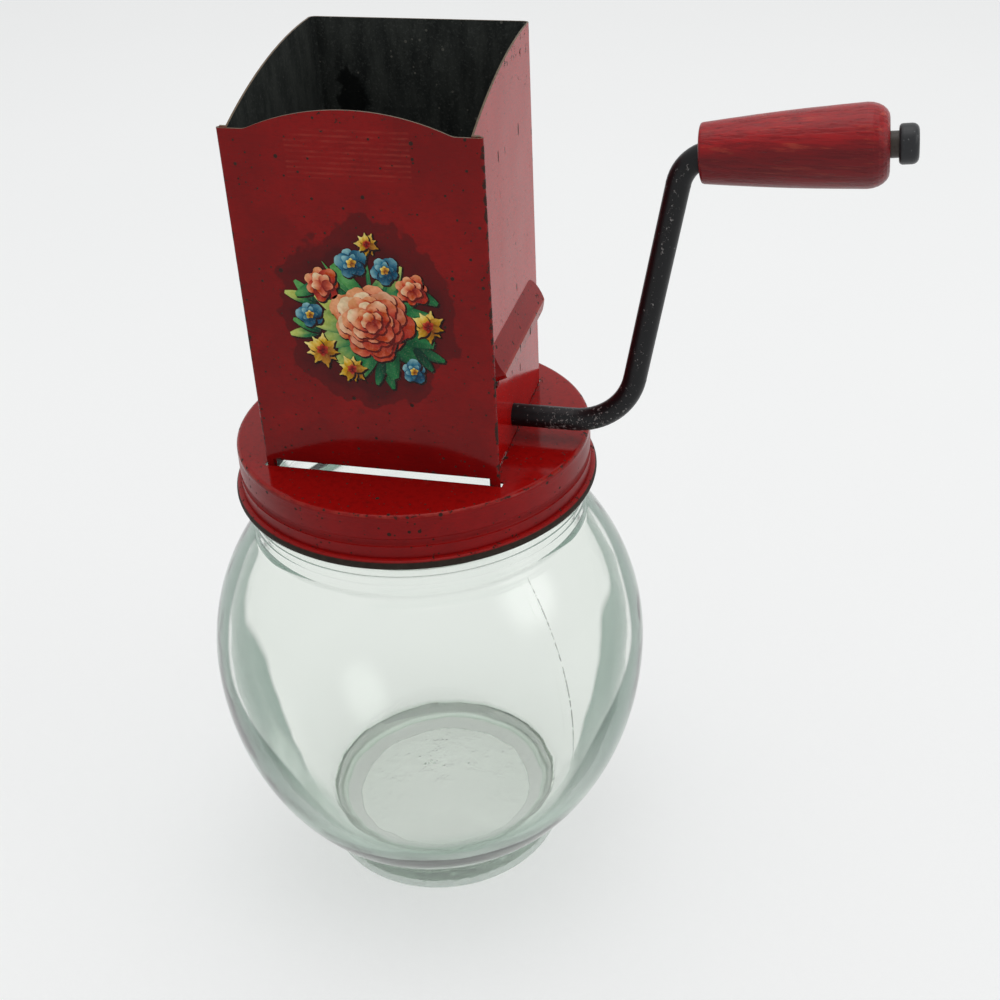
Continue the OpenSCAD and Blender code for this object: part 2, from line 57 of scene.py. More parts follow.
# %% Camera
camera_place = (0.07778, -0.22433, 0.23610)
heading, tilt, roll = math.radians(13.18), math.radians(-31.46), math.radians(-1.80)
studio_camera = bpy.data.objects.new("studio_camera", bpy.data.cameras.new("studio_camera"))
bpy.context.scene.collection.objects.link(studio_camera)
studio_camera.matrix_world = (
    Matrix.Translation(camera_place)
    @ Matrix.Rotation(heading, 4, "Z")
    @ Matrix.Rotation(math.pi / 2 + tilt, 4, "X")
    @ Matrix.Rotation(roll, 4, "Z")
)
studio_camera.data.sensor_width = 36
studio_camera.data.lens = 48.49
studio_camera.data.shift_x = -0.0389
studio_camera.data.shift_y = -0.0260
studio_camera.data.clip_start = 0.01
bpy.context.scene.camera = studio_camera
bpy.context.scene.view_settings.view_transform = "Standard"
print("Camera looks along", [round(-v, 3) for v in studio_camera.matrix_world.col[2][:3]])

# %% [markdown]
# ## Tools for materials
# A material is a tree of nodes, and most of the trees below are the same few steps: make a
# pattern of noise, cut it to a mask, and lay one colour over another where the mask is white.
# Each step gets a short function here, so that a finish reads as a recipe. All patterns are
# measured in millimetres on the object itself, so they stay put when a part moves.

# %% Nodes and wires
def wire_up(tree, node, wires):
    """Links each socket that wires names to its node, and writes each plain value."""
    for name, value in wires.items():
        if isinstance(value, bpy.types.NodeSocket):
            tree.links.new(value, node.inputs[name])
        else:
            node.inputs[name].default_value = value


def shader_node(tree, kind, wires=None, **settings):
    made = tree.nodes.new("ShaderNode" + kind)
    for name, value in settings.items():
        setattr(made, name, value)
    wire_up(tree, made, wires or {})
    return made


def new_material(name):
    """A material with nothing but a Principled shader wired to its output."""
    material = bpy.data.materials.new(name)
    material.use_nodes = True
    tree = material.node_tree
    tree.nodes.clear()
    surface = shader_node(tree, "BsdfPrincipled")
    output = shader_node(tree, "OutputMaterial", {"Surface": surface.outputs[0]})
    return material, tree, surface, output


print("Node tools ready")

# %% [markdown]
# A mask is a number from 0 to 1 at each place on the surface, and masks are put together by
# sums: the product of two holds where both do, and the larger of two holds where either does. A
# Math node takes two values at a time, so one function strings together as many as are given.
# A mask's edge could be cut hard, but paint and wear end softly, so Map Range smooths it.

# %% Sums with nodes
def maths(tree, operation, first, *others):
    """One Math node for each further value, or a single one for an operation on one value."""
    if not others:
        return shader_node(tree, "Math", {0: first}, operation=operation).outputs[0]
    for other in others:
        first = shader_node(tree, "Math", {0: first, 1: other}, operation=operation).outputs[0]
    return first


def plus(tree, *values):
    return maths(tree, "ADD", *values)


def minus(tree, first, second):
    return maths(tree, "SUBTRACT", first, second)


def times(tree, *values):
    return maths(tree, "MULTIPLY", *values)


def largest(tree, *values):
    return maths(tree, "MAXIMUM", *values)


def without_sign(tree, value):
    return maths(tree, "ABSOLUTE", value)


def distance(tree, across, up):
    """How far a point is from the middle, from its two offsets."""
    return maths(tree, "SQRT", plus(tree, times(tree, across, across), times(tree, up, up)))


def between(tree, value, low, high):
    """0 at low, 1 at high, and a smooth step from one to the other."""
    wires = {"Value": value, "From Min": low, "From Max": high}
    return shader_node(tree, "MapRange", wires, interpolation_type="SMOOTHSTEP").outputs[0]


def near_value(tree, value, centre, full, gone):
    """1 close to a value, fading out between the two distances."""
    return between(tree, without_sign(tree, minus(tree, value, centre)), gone, full)


def along_way(tree, x, y, way):
    """How far a place lies along a level direction, which is given by its x and y."""
    return plus(tree, times(tree, x, way[0]), times(tree, y, way[1]))


def from_spot(tree, x, z, centre, half):
    """0 in the middle of an oval spot on an upright face, and 1 at its edge."""
    return distance(tree, maths(tree, "DIVIDE", minus(tree, x, centre[0]), half[0]),
                    maths(tree, "DIVIDE", minus(tree, z, centre[1]), half[1]))


print("Sums ready")

# %% [markdown]
# Two patterns do nearly all the work. Noise gives clouds, streaks or grain, depending on how
# far it is stretched, and cells give separate spots. Painted pictures could do it too, but a
# pattern has no seams and stays sharp however close the camera comes.

# %% Colours, places and noise
def rgb(red, green, blue):
    """A colour written as a picture editor shows it, 0 to 255, made linear for the shader."""
    def linear(part):
        part /= 255
        return part / 12.92 if part <= 0.04045 else ((part + 0.055) / 1.055) ** 2.4
    return (linear(red), linear(green), linear(blue), 1.0)


def blend_colours(tree, share, first, second):
    """The first colour at share 0, the second at share 1."""
    wires = {0: share, 6: first, 7: second}
    return shader_node(tree, "Mix", wires, data_type="RGBA").outputs[2]


def blend_values(tree, share, first, second):
    return shader_node(tree, "Mix", {0: share, 2: first, 3: second}, data_type="FLOAT").outputs[0]


def in_millimetres(tree):
    """The place on the piece in millimetres, from Object coordinates."""
    wires = {0: shader_node(tree, "TexCoord").outputs["Object"], "Scale": 1000.0}
    return shader_node(tree, "VectorMath", wires, operation="SCALE").outputs[0]


def split(tree, vector):
    return shader_node(tree, "SeparateXYZ", {0: vector}).outputs


def way_it_faces(tree):
    """The three parts of the direction that the surface faces."""
    return split(tree, shader_node(tree, "TexCoord").outputs["Normal"])


def speckle(tree, place, scale, detail=2.0, roughness=0.5, stretch=(1, 1, 1), shift=0.0, turn=0.0):
    """Noise between 0 and 1. scale counts blotches in a millimetre, before the stretch."""
    wires = {"Vector": place, "Scale": stretch, "Location": (shift, shift * 0.7, shift * 1.3),
             "Rotation": (0, turn, 0)}
    moved = shader_node(tree, "Mapping", wires).outputs[0]
    wires = {"Vector": moved, "Scale": scale, "Detail": detail, "Roughness": roughness}
    return shader_node(tree, "TexNoise", wires).outputs[0]


def dots(tree, place, per_mm, size, shift=0.0, stretch=(1, 1, 1)):
    """Small round spots, one to a cell, each of its own size, so that some are hardly there."""
    wires = {"Vector": place, "Location": (shift, shift, shift), "Scale": stretch}
    moved = shader_node(tree, "Mapping", wires).outputs[0]
    cells = shader_node(tree, "TexVoronoi", {"Vector": moved, "Scale": per_mm})
    lot = split(tree, cells.outputs["Color"])[0]
    reach = times(tree, maths(tree, "POWER", lot, 3.0), size * per_mm)
    return between(tree, minus(tree, cells.outputs["Distance"], reach), 0.02, -0.02)


def bumped(tree, surface, height, depth=0.001):
    """Wires a height map, in metres once depth multiplies it, into the shader's normal."""
    wires = {"Height": height, "Distance": depth, "Strength": 1.0}
    wire_up(tree, surface, {"Normal": shader_node(tree, "Bump", wires).outputs[0]})


print("Pattern tools ready")

# %% [markdown]
# ## Light and floor
# Enamel and glass show what is around them more than what shines on them, so most of the light
# is one very broad lamp overhead, like a white ceiling, in a pale sky. A smaller lamp at the
# right lights the crank's side. Both fade out towards their edges, as light through cloth does,
# so that their reflections have no corners. All of it together gives a flat white card a
# brightness of about one, and a colour renders as it is written. The sky is paler for the rays
# that show it than for those that only carry its light, and so it meets the floor softly.

# %% Sky and lamps
def seen_directly(tree):
    """1 for rays of the camera, of reflections and through glass, 0 for rays that only light."""
    rays = shader_node(tree, "LightPath").outputs
    return largest(tree, *(rays[f"Is {kind} Ray"] for kind in ("Camera", "Glossy", "Transmission")))


sky = bpy.data.worlds.new("pale_studio")
bpy.context.scene.world = sky
sky.use_nodes = True
tree = sky.node_tree
glow, glow_seen = 0.50, 0.86
wires = {"Color": (0.975, 0.987, 0.99, 1),
         "Strength": blend_values(tree, seen_directly(tree), glow, glow_seen)}
wire_up(tree, tree.nodes["Background"], wires)


def soft_lamp(name, place, aim, size, share):
    """A square lamp that alone gives a card facing it, at aim, this share of full brightness. It
    is brightest in the middle, and faded_share makes up for what its dim edge takes away."""
    place, aim, faded_share = Vector(place), Vector(aim), 2.85
    light = bpy.data.lights.new(name, "AREA")
    light.shape, light.size = "SQUARE", size
    light.energy = share * math.pi ** 2 * (place - aim).length_squared
    light.use_nodes = True
    tree = light.node_tree
    spot = split(tree, shader_node(tree, "NewGeometry").outputs["Parametric"])
    from_middle = distance(tree, minus(tree, spot[0], 0.5), minus(tree, spot[1], 0.5))
    fade = times(tree, between(tree, from_middle, 0.5, 0.15), faded_share)
    wire_up(tree, tree.nodes["Emission"], {"Strength": fade})
    lamp = bpy.data.objects.new(name, light)
    turn = (place - aim).to_track_quat("Z", "Y").to_matrix().to_4x4()
    lamp.matrix_world = Matrix.Translation(place) @ turn
    bpy.context.scene.collection.objects.link(lamp)


middle = (0, 0, 0.1)
soft_lamp("ceiling_light", (0.02, 0.12, 1.40), middle, 1.9, 0.44)
soft_lamp("side_light", (1.15, -0.10, 0.75), middle, 1.1, 0.13)

# %% [markdown]
# The floor is nearly white paper. Paper as white as the background would light the glass from
# below too much. So nearly half of it is plain white that only the camera, reflections and
# glass see: it lights nothing, and the paper under it still takes the jar's soft shadow.

# %% Paper floor
floor_half, white_share = 3.0, 0.45
floor_shape = bmesh.new()
bmesh.ops.create_grid(floor_shape, x_segments=1, y_segments=1, size=floor_half)
floor_mesh = bpy.data.meshes.new("paper_floor")
floor_shape.to_mesh(floor_mesh)
floor_shape.free()
paper_floor = bpy.data.objects.new("paper_floor", floor_mesh)
bpy.context.scene.collection.objects.link(paper_floor)

paper, tree, surface, output = new_material("white_paper")
place = in_millimetres(tree)
cloud = speckle(tree, place, 0.004, 3)
colour = blend_colours(tree, cloud, rgb(243, 245, 245), rgb(250, 251, 251))
wire_up(tree, surface, {"Base Color": colour, "Roughness": 0.75})
bumped(tree, surface, speckle(tree, place, 1.4, 3), 0.00004)
white = shader_node(tree, "Emission", {"Color": (1, 1, 1, 1), "Strength": 1.0})
added = times(tree, seen_directly(tree), white_share)
wires = {0: added, 1: surface.outputs[0], 2: white.outputs[0]}
wire_up(tree, output, {"Surface": shader_node(tree, "MixShader", wires).outputs[0]})
floor_mesh.materials.append(paper)
print("Floor is", 2 * floor_half, "m wide")

# %% [markdown]
# ## The glass jar
# The jar is moulded glass: a round belly drawn in to a neck, with a bead under the lid, a
# thread for the lid, and a ring foot. Its outline is one line, from the middle of the base
# out and up to the rim, and back down the inside to the middle of the floor. Spinning that
# line a full turn makes the wall as one closed skin, which glass needs to bend light rightly.
# The CAD solid has the same sizes, but fewer steps, so this piece stands for it.

# %% Jar sizes and curves
belly_r, belly_z, belly_up, belly_down, wall = 46.4, 52.0, 47.0, 56.0, 3.0
foot_r, foot_w, foot_rise, foot_round, foot_fillet = 27.4, 4.2, 1.2, 1.5, 3.0
neck_r, neck_bead, bead_z, neck_fillet = 34.0, 1.0, 92.25, 2.0
finish_r, mouth_r, rim_z, rim_round, floor_z = 33.3, 31.0, 103.8, 0.8, 7.0
in_r, in_up, in_down = belly_r - wall, belly_up - wall, belly_down - wall


def arc(x, z, r, start, end, steps):
    """Points round a centre, from one angle to another, in degrees."""
    angles = [math.radians(start + (end - start) * i / steps) for i in range(steps + 1)]
    return [(x + r * math.cos(a), z + r * math.sin(a)) for a in angles]


def oval(r, up, down, start, end, steps):
    """Points on the belly's curve, which is taller above its widest place than below."""
    angles = [start + (end - start) * i / steps for i in range(steps + 1)]
    return [(r * math.cos(a), belly_z + (up if a > 0 else down) * math.sin(a)) for a in angles]


print("Inside of the belly:", round(in_r * 2, 1), "mm wide")

# %% [markdown]
# Where the belly meets the foot and the neck, a small fillet joins the oval to an upright line.
# The angle at which the oval is as wide as the foot or neck gives the fillet's turn, and the
# turn gives its height. Under the base, a cosine makes the shallow hollow without an edge. Two
# faint ridges run round the neck under the bead, and above it the points are only a quarter of
# a millimetre apart, close enough to carry the thread.

# %% Jar outline, outside
hollow_steps, row_gap, rows = 16, 0.25, 39
foot_a = math.acos(foot_r / belly_r)
foot_turn = math.pi / 2 - math.atan2(belly_down * math.cos(foot_a), belly_r * math.sin(foot_a))
foot_top = belly_z - belly_down * math.sin(foot_a) - foot_fillet * math.tan(foot_turn / 2)
neck_a = math.acos(neck_r / belly_r)
neck_turn = math.atan2(belly_r * math.sin(neck_a), belly_up * math.cos(neck_a))
neck_z = belly_z + belly_up * math.sin(neck_a) + neck_fillet * math.tan(neck_turn / 2)
foot_in = foot_r - foot_round - foot_w
outside = [(foot_in * i / hollow_steps, foot_rise * (1 + math.cos(math.pi * i / hollow_steps)) / 2)
           for i in range(hollow_steps + 1)]
outside += arc(foot_r - foot_round, foot_round, foot_round, -90, 0, 8)
outside += arc(foot_r + foot_fillet, foot_top, foot_fillet, 180, 180 - math.degrees(foot_turn), 8)
outside += oval(belly_r, belly_up, belly_down, -foot_a, neck_a, 60)[1:-1]
outside += arc(neck_r + neck_fillet, neck_z, neck_fillet, 180 + math.degrees(neck_turn), 180, 8)
outside += [(neck_r + 0.02, 86.9), (neck_r + 0.30, 87.2), (neck_r + 0.30, 87.7), (neck_r, 88.1)]
outside += [(neck_r, 89.1), (neck_r + 0.16, 89.3), (neck_r + 0.16, 89.5), (neck_r, 89.7)]
outside += arc(neck_r, bead_z, neck_bead, -90, 90, 12)
outside += [(finish_r, bead_z + neck_bead + row_gap * i) for i in range(1, rows + 1)]
outside += arc(finish_r - rim_round, rim_z - rim_round, rim_round, 0, 90, 6)
print("Foot curve ends at z", round(foot_top, 2), "and the neck's at z", round(neck_z, 2))

# %% [markdown]
# The inside follows the same oval, one wall further in. Hot glass leaves no sharp corner where
# the wall meets the floor, so the points there are averaged with their neighbours a few times.

# %% Jar outline, inside
soft_passes, soft_below = 14, 20
floor_a = math.asin((floor_z - belly_z) / in_down)
mouth_a = math.acos(mouth_r / in_r)
inside = arc(mouth_r + rim_round, rim_z - rim_round, rim_round, 90, 180, 6)
inside += oval(in_r, in_up, in_down, mouth_a, floor_a, 60)
inside += [(in_r * math.cos(floor_a) * (1 - i / 12), floor_z) for i in range(1, 12)]
for _ in range(soft_passes):
    soft = [((a[0] + 2 * b[0] + c[0]) / 4, (a[1] + 2 * b[1] + c[1]) / 4)
            for a, b, c in zip(inside, inside[1:], inside[2:])]
    inside[1:-1] = [new if new[1] < soft_below else old for new, old in zip(soft, inside[1:-1])]
jar_outline = outside + inside + [(0, floor_z)]
print("Jar outline points:", len(jar_outline))

# %% [markdown]
# Spin works as a lathe. A Screw modifier could turn the outline as well, but the next step
# needs real points to move. The last step of the turn is merged with the first, and so are the
# points on the axis. Then the normals are worked out again, because a spin can leave a shape
# inside out. Every new piece ends in the same way: it gets its finish and the body that it moves
# with.

# %% Spin the jar
def finish_mesh(shape, name, body, material, smooth=True):
    """Turns a bmesh into a piece of the object: mesh, material, and the body it rides on."""
    mesh = bpy.data.meshes.new(name)
    shape.to_mesh(mesh)
    shape.free()
    for face in mesh.polygons:
        face.use_smooth = smooth
    piece = bpy.data.objects.new(name, mesh)
    bpy.context.scene.collection.objects.link(piece)
    mesh.materials.append(material)
    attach(piece, body)
    return piece


def turned(points, steps):
    """A lathe: points are (radius, height) in millimetres, spun about Z with a merged seam."""
    shape = bmesh.new()
    line = [shape.verts.new((r / 1000, 0, z / 1000)) for r, z in points]
    edges = [shape.edges.new(pair) for pair in zip(line, line[1:])]
    bmesh.ops.spin(shape, geom=line + edges, cent=(0, 0, 0), axis=(0, 0, 1),
                   angle=math.tau, steps=steps, use_merge=True)
    bmesh.ops.remove_doubles(shape, verts=shape.verts, dist=1e-6)
    bmesh.ops.recalc_face_normals(shape, faces=shape.faces)
    return shape


jar_shape = turned(jar_outline, 160)
print("Jar faces:", len(jar_shape.faces))

# %% [markdown]
# Moulded glass is never quite even, so the inner skin sways by a tenth of a millimetre or two
# in a few long, smooth waves, and the outside stays true. Round the neck, a ridge climbs as the
# thread and runs out at both ends. Both are made by moving the spun points in or out.

# %% Waves and thread
thread_rise, thread_out, thread_half = 5.08, 0.6, 0.9
thread_low, thread_high = bead_z + 1.5, rim_z - 1.2


def on_inner_skin(r, z):
    tall = in_up if z > belly_z else in_down
    return r > 1 and 8 < z < 92 and (r / in_r) ** 2 + ((z - belly_z) / tall) ** 2 < 1.01


def wave(a, z):
    """Sway of the inner skin, in millimetres, more of it low down."""
    low = max(0.0, min(1.0, (60 - z) / 50))
    sway = math.sin(2 * a + z / 11 + 0.6) + 0.6 * math.sin(3 * a - z / 14 + 2)
    return (0.04 + 0.10 * low) * sway


def thread(a, z):
    """How far the thread stands out here: it is highest where z keeps pace with the angle."""
    near = ((z - bead_z - 2.2) / thread_rise - (a / math.tau) % 1.0) % 1.0
    near = min(near, 1 - near) * thread_rise
    ends = min(1.0, max(0.0, z - thread_low), max(0.0, thread_high - z))
    return thread_out * max(0.0, 1 - (near / thread_half) ** 2) * ends


for v in jar_shape.verts:
    x, y, z = v.co * 1000
    r, a = math.hypot(x, y), math.atan2(y, x)
    if on_inner_skin(r, z):
        r += wave(a, z)
    if thread_low < z < thread_high and r > finish_r - 0.1:
        r += thread(a, z)
    if r > 1:
        v.co.x, v.co.y = r * math.cos(a) / 1000, r * math.sin(a) / 1000
print("Widest radius in mm:", round(max(v.co.xy.length for v in jar_shape.verts) * 1000, 2))

# %% [markdown]
# ## Jar glass
# Jar glass is clear with a faint sea green that shows only where light goes a long way through
# it, so part of the colour is in the volume, as absorption. The rest is in the surface. The
# mould seam is a broken hairline in an upright plane through the axis. It is painted on the
# outer skin only, because a line on both skins would show double, and the skins are told apart
# by place: the outer one lies on the belly's oval.

# %% Glass: seam and skins
glass, tree, surface, output = new_material("jar_glass")
place = in_millimetres(tree)
x, y, z = split(tree, place)
radius = distance(tree, x, y)
across = maths(tree, "DIVIDE", radius, belly_r)
along = maths(tree, "DIVIDE", minus(tree, z, belly_z), belly_up)
on_oval = plus(tree, times(tree, across, across), times(tree, along, along))
outer_skin = between(tree, on_oval, 0.95, 0.98)
off_seam = without_sign(tree, along_way(tree, x, y, (0.60, 0.80)))
broken = between(tree, speckle(tree, place, 0.8, 3, 0.7), 0.40, 0.55)
seam_foot, seam_top = (45, 56), (86, 82)
seam = times(tree, between(tree, off_seam, 0.16, 0.08), between(tree, x, 5, 10), broken, outer_skin,
             between(tree, z, *seam_foot), between(tree, z, *seam_top))
print("Seam climbs from z", seam_foot[0], "to z", seam_top[0])

# %% [markdown]
# Where the wall is seen at a slant, light runs round inside it for many bounces, more than a
# picture can follow, and comes out green. A tint that starts at that slant stands for it, as
# painted light: it makes the bands at the sides, and is painted wider low down on the two sides
# that lie across the camera's view. More absorption could darken the sides too, but it would dull
# the middle with them. The low front is painted streaky green as well, for the same light.

# %% Glass: green bands
slant = shader_node(tree, "LayerWeight", {"Blend": 0.5}).outputs["Facing"]
sideways = without_sign(tree, along_way(tree, x, y, (0.946, 0.326)))
sides = between(tree, maths(tree, "DIVIDE", sideways, radius), 0.35, 0.80)
low_sides = times(tree, sides, between(tree, z, 12, 20))
low_glass = times(tree, between(tree, z, 62, 36), low_sides, 0.19)
wander = times(tree, speckle(tree, place, 0.035, 1, shift=3), 0.14)
band = between(tree, plus(tree, slant, low_glass, wander), 0.72, 0.76)
deep = largest(tree, between(tree, z, 34, 50), low_sides)
green = blend_colours(tree, deep, (0.74, 0.84, 0.78, 1), (0.085, 0.155, 0.12, 1))
tinted = blend_colours(tree, band, (0.99, 1.0, 0.985, 1), green)
streaks = speckle(tree, place, 0.05, 2, 0.5, stretch=(0.5, 0.5, 4.0), shift=8)
streaks = blend_values(tree, between(tree, streaks, 0.35, 0.62), 0.45, 1.0)
low_front = times(tree, between(tree, z, 35, 25), between(tree, z, 8.5, 11),
                  between(tree, y, -8, -24))
tinted = blend_colours(tree, times(tree, low_front, streaks), tinted, (0.52, 0.66, 0.58, 1))
print("Glass nodes so far:", len(tree.nodes))

# %% [markdown]
# Small seeds and scratches under the base are bumps. The ring that the jar stands on is scuffed
# white. A fainter pale green haze on the foot's wall is part scratches and part painted light,
# for the light that runs round inside the glass down to the foot. Both let less light through.
# Light from the lamps reaches the floor straight through the glass by a Transparent shader for
# shadow rays alone, which is calmer than tracing each bent ray.

# %% Glass: foot, marks and light through it
# The foot's wall: part scratch haze, part painted light, in pale green.
foot_wall = times(tree, between(tree, z, 7.5, 5.5), between(tree, radius, 25.4, 26.2))
tinted = blend_colours(tree, foot_wall, tinted, (0.83, 0.94, 0.87, 1))
tinted = blend_colours(tree, times(tree, seam, 0.8), tinted, (0.06, 0.07, 0.06, 1))
near_base = between(tree, z, 9, 6)
seeds = times(tree, between(tree, speckle(tree, place, 0.20, 3, 0.6, shift=5), 0.44, 0.78), near_base)
ripple = speckle(tree, place, 0.06, 2)
bumped(tree, surface, plus(tree, times(tree, seam, 0.06), times(tree, ripple, 0.12),
                           times(tree, seeds, 0.17)))
scuffed = times(tree, between(tree, z, 0.3, 0.1), between(tree, radius, foot_in - 0.6, foot_in))
clear = maths(tree, "MINIMUM", blend_values(tree, scuffed, 1.0, 0.45),
              blend_values(tree, foot_wall, 1.0, 0.66))
wire_up(tree, surface, {"Base Color": tinted, "IOR": 1.5, "Transmission Weight": clear,
                        "Roughness": times(tree, near_base, 0.07)})

see_through = shader_node(tree, "BsdfTransparent", {0: (0.990, 0.992, 0.990, 1)})
shadow_ray = shader_node(tree, "LightPath").outputs["Is Shadow Ray"]
wires = {0: shadow_ray, 1: surface.outputs[0], 2: see_through.outputs[0]}
sea_green = shader_node(tree, "VolumeAbsorption", {"Color": (0.45, 0.58, 0.45, 1), "Density": 32.0})
wire_up(tree, output, {"Surface": shader_node(tree, "MixShader", wires).outputs[0],
                       "Volume": sea_green.outputs[0]})
glass_jar = finish_mesh(jar_shape, "glass_jar", "jar", glass)
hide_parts("jar")
print("Jar made:", len(glass_jar.data.polygons), "faces")

# %% [markdown]
# ## Red enamel on tin
# Hopper, panel and lid were stamped from enamelled tinplate. The red is deep and glossy, with
# small dark specks where it is nicked down to the metal, more of them at bends and edges. One
# function builds this finish. Each part adds its own masks, which are functions of the place
# on the part and of the way it faces: where the inside is dark, where a cut edge is bare, where
# wear gathers, and where light is painted on. The faces could be sorted by hand and given a
# material each, but masks leave the CAD's triangles alone. First come three layers that take a
# few steps each.

# %% Layers of the enamel
def red_coat(where, reds, painted_light):
    """The red itself: cloudy, paler where light is painted on, with fine level strokes."""
    tree, place = where[:2]
    bright, deep, pale = reds
    cloud = between(tree, speckle(tree, place, 0.07, 4, 0.6), 0.3, 0.7)
    colour = blend_colours(tree, cloud, bright, deep)
    # Painted light: where the mask says, the red is blended to the paler third red.
    if painted_light:
        colour = blend_colours(tree, painted_light(*where), colour, pale)
    strokes = speckle(tree, place, 2.4, 2, 0.6, stretch=(0.35, 0.35, 1.6), shift=1)
    strokes = times(tree, between(tree, strokes, 0.45, 0.7), 0.35)
    return blend_colours(tree, strokes, colour, rgb(104, 10, 11))


def chips_and_pits(where, wear, nicks):
    """Where the red is off: round pits everywhere, longer nicks, and chips where wear gathers."""
    tree, place = where[:2]
    pits = [dots(tree, place, 0.55, 0.42), dots(tree, place, 1.1, 0.22, shift=9)]
    if nicks:
        pits.append(nicks(*where))
    broad = speckle(tree, place, 0.6, 5, 0.75, shift=31)
    worn = plus(tree, broad, times(tree, wear(*where), 0.17))
    return largest(tree, *pits, between(tree, worn, 0.70, 0.715))


def dark_lacquer(where):
    """The hopper's inside: near black, scuffed downwards and dusty, with one black blot."""
    tree, place, x, y, z, facing = where
    blot_at, blot_half = (-14.5, 164), (5, 10)
    scuff = speckle(tree, place, 0.35, 5, 0.7, stretch=(1, 1, 0.25), shift=2)
    colour = blend_colours(tree, between(tree, scuff, 0.3, 0.7), rgb(36, 39, 38), rgb(62, 65, 62))
    grit = between(tree, speckle(tree, place, 2.2, 3, 0.7, shift=17), 0.50, 0.75)
    colour = blend_colours(tree, times(tree, grit, 0.5), colour, rgb(96, 99, 95))
    dust = dots(tree, place, 0.7, 0.35, shift=4)
    colour = blend_colours(tree, times(tree, dust, 0.6), colour, rgb(122, 120, 112))
    ragged = plus(tree, from_spot(tree, x, z, blot_at, blot_half),
                  times(tree, speckle(tree, place, 0.3, 4, 0.6, shift=26), 1.4))
    blot = times(tree, between(tree, ragged, 1.35, 1.15), 0.8)
    return blend_colours(tree, blot, colour, rgb(10, 11, 11))


print("Enamel layers ready")

# %% [markdown]
# The layers are laid in the order in which they came to the real tin: the red, paler where light
# is painted on, then its pale lines, which are printed rules on the panel and painted highlights
# on the rib and the lid's rim, and stains, then chips with rust in them, and last the bare edges
# and the inside. The gloss follows the same masks, because a chip or a cut edge is rough. Broad
# dents in the tin, the paint's fine skin and the depth of the chips make one height map.

# %% Enamel
# The third red is the paler one that painted light blends to.
tin_reds = (rgb(143, 12, 12), rgb(120, 10, 11), rgb(186, 19, 17))
cut_tin = (rgb(132, 116, 96), rgb(70, 54, 44))


def enamel(name, wear, bare, print_and_highlight_lines, dark=None, stain=None, nicks=None, painted_light=None, unpainted=None,
           dulled=None, reds=tin_reds, metal=cut_tin, ior=1.25):
    """Red enamel. Each mask is a function of (tree, place, x, y, z, facing)."""
    material, tree, surface, _ = new_material(name)
    place = in_millimetres(tree)
    where = (tree, place, *split(tree, place), way_it_faces(tree))
    # Pale lines: printed rules on the panel, and painted highlights on the rib's ridge and the lid's
    # rim.
    colour = blend_colours(tree, print_and_highlight_lines(*where), red_coat(where, reds, painted_light), rgb(168, 60, 48))
    if stain:
        colour = blend_colours(tree, stain(*where), colour, rgb(68, 9, 12))
    smudge = between(tree, speckle(tree, place, 0.3, 5, 0.7, shift=41), 0.60, 0.78)
    colour = blend_colours(tree, times(tree, smudge, 0.5), colour, rgb(74, 20, 16))
    pits = chips_and_pits(where, wear, nicks)
    rust = speckle(tree, place, 1.1, 3, shift=3)
    rust = blend_colours(tree, rust, rgb(34, 12, 11), rgb(70, 44, 36))
    colour = blend_colours(tree, pits, colour, rust)
    gloss = blend_values(tree, speckle(tree, place, 0.25, 3, shift=13), 0.08, 0.15)
    gloss = blend_values(tree, pits, gloss, 0.6)
    edge = bare(*where)
    edge_metal = blend_colours(tree, speckle(tree, place, 0.9, 3, shift=5), *metal)
    colour = blend_colours(tree, edge, colour, edge_metal)
    gloss = blend_values(tree, edge, gloss, 0.42)
    if dark:
        hidden = dark(*where)
        colour = blend_colours(tree, hidden, colour, dark_lacquer(where))
        gloss = blend_values(tree, hidden, gloss, 0.45)
    if unpainted:
        tin = speckle(tree, place, 0.3, 4, 0.6)
        tin = blend_colours(tree, tin, rgb(176, 174, 168), rgb(140, 136, 126))
        colour = blend_colours(tree, unpainted(*where), colour, tin)
    if dulled:
        gloss = plus(tree, gloss, dulled(*where))
    wire_up(tree, surface, {"Base Color": colour, "Roughness": gloss, "IOR": ior})
    dents = times(tree, speckle(tree, place, 0.05, 1, shift=9), 0.22)
    skin = times(tree, speckle(tree, place, 1.6, 2, shift=4), 0.004)
    bumped(tree, surface, minus(tree, plus(tree, dents, skin), times(tree, pits, 0.03)))
    return material


def coat(part, material):
    """Puts a material in place of the plain one that the CAD part came with."""
    mesh = parts[part].data
    mesh.materials.clear()
    mesh.materials.append(material)


print("Enamel ready")

# %% [markdown]
# ## Hopper and panel
# The hopper's inside is told from its outside by the way a face looks: towards the middle of
# the shaft it is dark lacquer, away from it red. The cut top edges face up and are bare tin.
# Wear follows the upright bends, the foot of the walls and the raised rib. The right wall is
# painted a brighter, flatter red as painted light, most of it low down, and a broken pale line on
# the rib's ridge is a painted highlight. The numbers in these masks are places in millimetres:
# the side walls stand 21.2 to each side of the middle, their foot is at z 105, and the back's top
# edge at z 178.5.

# %% Hopper
def faces_inwards(tree, place, x, y, z, facing):
    """1 where the surface looks back at the hopper's axis, and so lies the other way from it."""
    return between(tree, along_way(tree, x, y, facing), -1.0, -3.0)


def cut_top(tree, place, x, y, z, facing):
    return times(tree, between(tree, facing[2], 0.5, 0.7), between(tree, z, 160, 164))


def hopper_wear(tree, place, x, y, z, facing):
    from_centre = without_sign(tree, x)
    corner = times(tree, between(tree, from_centre, 20.4, 21.1), between(tree, y, 19.6, 21.2))
    foot = times(tree, between(tree, z, 106.4, 105.3), 0.8)
    top = times(tree, between(tree, z, 170, 177), 0.55)
    ridge = times(tree, between(tree, from_centre, 23.3, 23.7), 0.25)
    return plus(tree, largest(tree, corner, foot, ridge, top), 0.16)


